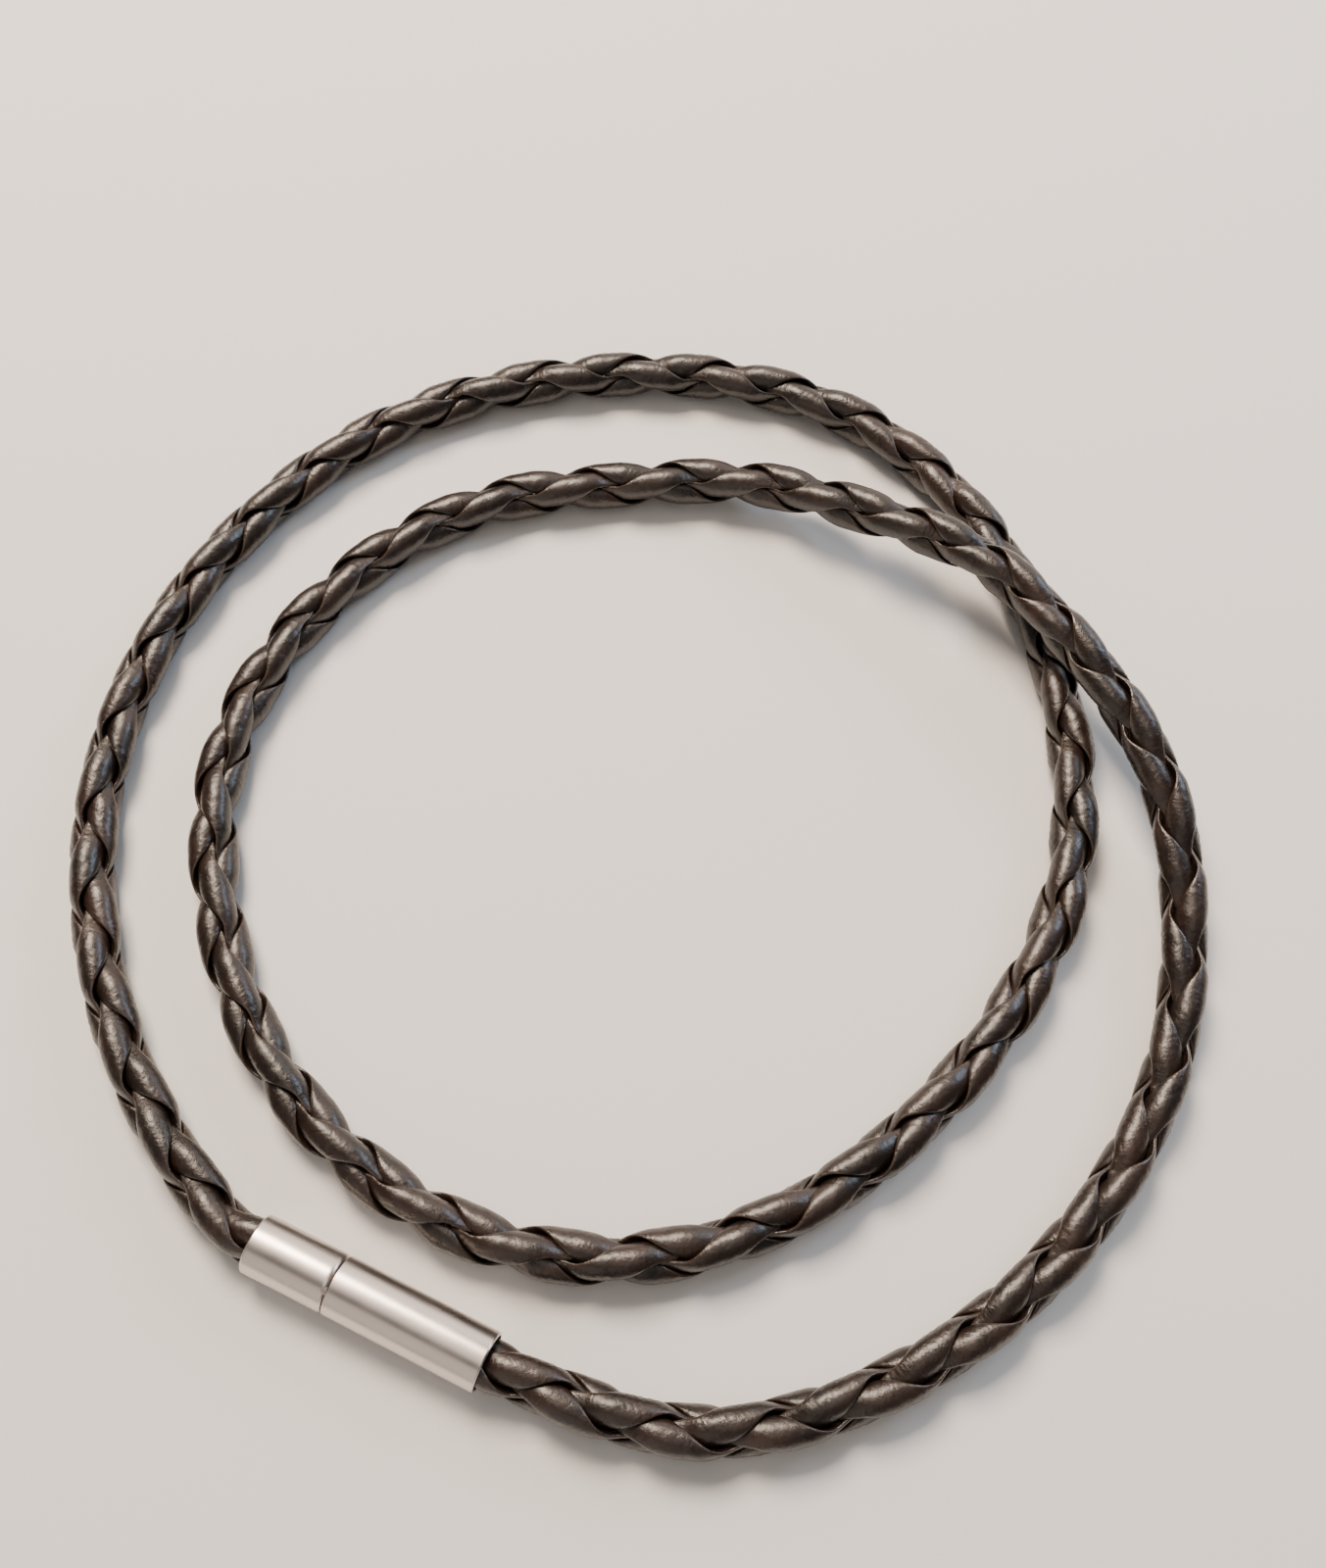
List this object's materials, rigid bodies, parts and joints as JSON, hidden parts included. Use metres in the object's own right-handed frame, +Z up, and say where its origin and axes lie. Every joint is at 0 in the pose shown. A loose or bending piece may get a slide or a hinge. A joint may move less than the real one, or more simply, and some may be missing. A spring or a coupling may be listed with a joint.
{
  "type": "braided leather necklace",
  "caption": "Round-plaited leather cord necklace lying in a doubled loop, its ends held in the coaxial steel sleeves of a fastened bayonet clasp.",
  "frame": {"origin": "middle of the two lying turns, on the surface they lie on", "axes": "+Z up from the surface; +Y away from the clasp's side, towards the far side of the loop; +X to the right, the side where the two turns cross"},
  "size_m": [0.093, 0.0962, 0.0084],
  "materials": {
    "leather": "smooth black leather lace with a soft satin sheen",
    "steel": "polished stainless steel"
  },
  "bodies": {
    "root": {"lace_1": "leather", "lace_2": "leather", "lace_3": "leather", "lace_4": "leather", "short_sleeve": "steel", "long_sleeve": "steel"}
  },
  "joints": []
}
